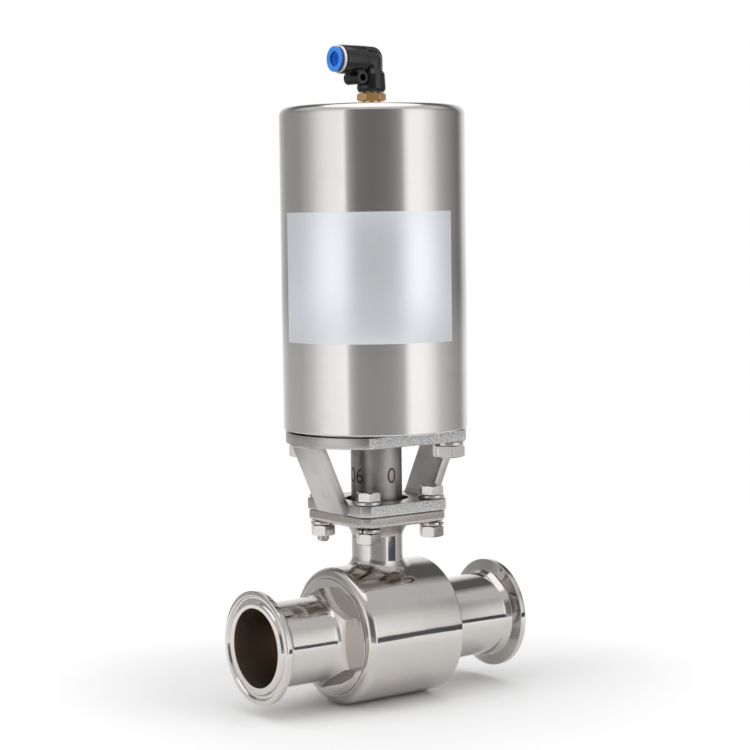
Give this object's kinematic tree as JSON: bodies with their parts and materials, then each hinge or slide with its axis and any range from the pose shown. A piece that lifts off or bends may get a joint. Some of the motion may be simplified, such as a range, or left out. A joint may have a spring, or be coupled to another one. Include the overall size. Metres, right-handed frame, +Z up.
{
  "type": "pneumatic ball valve",
  "caption": "Sanitary ball valve with clamp pipe ends, turned by a tall spring-return piston actuator on an open bracket, with a push-in air elbow on top.",
  "frame": {"origin": "centre of the ball, where the pipe axis meets the stem axis", "axes": "+X along the pipe from the screwed end cap towards the body's own pipe end, +Z up the stem to the actuator and its air fitting"},
  "size_m": [0.1344, 0.084, 0.2958],
  "materials": {
    "polished_steel": "polished stainless steel",
    "brushed_steel": "brushed stainless steel",
    "blasted_steel": "dull blasted stainless steel",
    "bolt_steel": "bright stainless fasteners",
    "spring_steel": "dark spring steel",
    "aluminium": "machined aluminium",
    "bronze": "bearing bronze",
    "brass": "turned brass",
    "white_polymer": "white low-friction polymer",
    "seal_rubber": "black seal rubber",
    "black_plastic": "moulded black plastic",
    "pale_plastic": "off-white plastic",
    "blue_plastic": "blue plastic"
  },
  "bodies": {
    "valve_assembly": {"valve_body": "polished_steel", "outlet_ferrule": "polished_steel", "end_cap": "polished_steel", "seat_ring_inlet": "white_polymer", "seat_ring_outlet": "white_polymer", "body_seal": "white_polymer", "stem_thrust_washer": "white_polymer", "packing_ring_lower": "white_polymer", "packing_ring_middle": "white_polymer", "packing_ring_upper": "white_polymer", "packing_follower": "brushed_steel", "gland_nut": "brushed_steel", "mounting_bracket": "brushed_steel", "bracket_bolt_1": "bolt_steel", "bracket_bolt_2": "bolt_steel", "bracket_bolt_3": "bolt_steel", "bracket_bolt_4": "bolt_steel", "bracket_washer_1": "bolt_steel", "bracket_washer_2": "bolt_steel", "bracket_washer_3": "bolt_steel", "bracket_washer_4": "bolt_steel", "bracket_spring_washer_1": "bolt_steel", "bracket_spring_washer_2": "bolt_steel", "bracket_spring_washer_3": "bolt_steel", "bracket_spring_washer_4": "bolt_steel", "bracket_nut_1": "bolt_steel", "bracket_nut_2": "bolt_steel", "bracket_nut_3": "bolt_steel", "bracket_nut_4": "bolt_steel", "actuator_bolt_1": "bolt_steel", "actuator_bolt_2": "bolt_steel", "actuator_spring_washer_1": "bolt_steel", "actuator_spring_washer_2": "bolt_steel", "actuator_barrel": "brushed_steel", "end_cover": "aluminium", "cover_seal": "seal_rubber", "retaining_ring": "spring_steel", "shaft_seal": "seal_rubber", "rotor_bush": "bronze", "rotor_thrust_washer": "white_polymer", "guide_tube": "brushed_steel", "return_spring": "spring_steel", "fitting_stud": "brass", "swivel_seal": "seal_rubber"},
    "piston_group": {"piston": "aluminium", "wear_ring": "white_polymer", "piston_seal": "seal_rubber", "cross_pin": "spring_steel", "pin_roller_front": "bronze", "pin_roller_back": "bronze"},
    "turning_group": {"drive_rotor": "brushed_steel", "coupling_sleeve": "blasted_steel", "valve_stem": "brushed_steel", "ball": "polished_steel"},
    "air_elbow": {"elbow_body": "black_plastic", "tube_seal": "seal_rubber", "grip_ring": "spring_steel", "retainer_ring": "pale_plastic"},
    "collet": {"release_collet": "blue_plastic"}
  },
  "joints": [
    {"name": "piston_stroke", "type": "slide", "parent": "valve_assembly", "child": "piston_group", "axis": [0, 0, -1], "range_m": [0, 0.034], "stiffness_N_per_m": 16400, "springref_m": -0.03, "deforming": ["return_spring"]},
    {"name": "quarter_turn", "type": "hinge", "parent": "valve_assembly", "child": "turning_group", "pos_m": [0, 0, 0], "axis": [0, 0, 1], "range_deg": [0, 90]},
    {"name": "elbow_swivel", "type": "hinge", "parent": "valve_assembly", "child": "air_elbow", "pos_m": [0, 0, 0.2474], "axis": [0, 0, 1], "continuous": true},
    {"name": "collet_press", "type": "slide", "parent": "air_elbow", "child": "collet", "axis": [1, 0, 0], "range_m": [0, 0.001], "stiffness_N_per_m": 200, "springref_m": -0.0005}
  ],
  "couplings": [
    {"joint": "quarter_turn", "follows": "piston_stroke", "rad_per_m": 46.2}
  ]
}
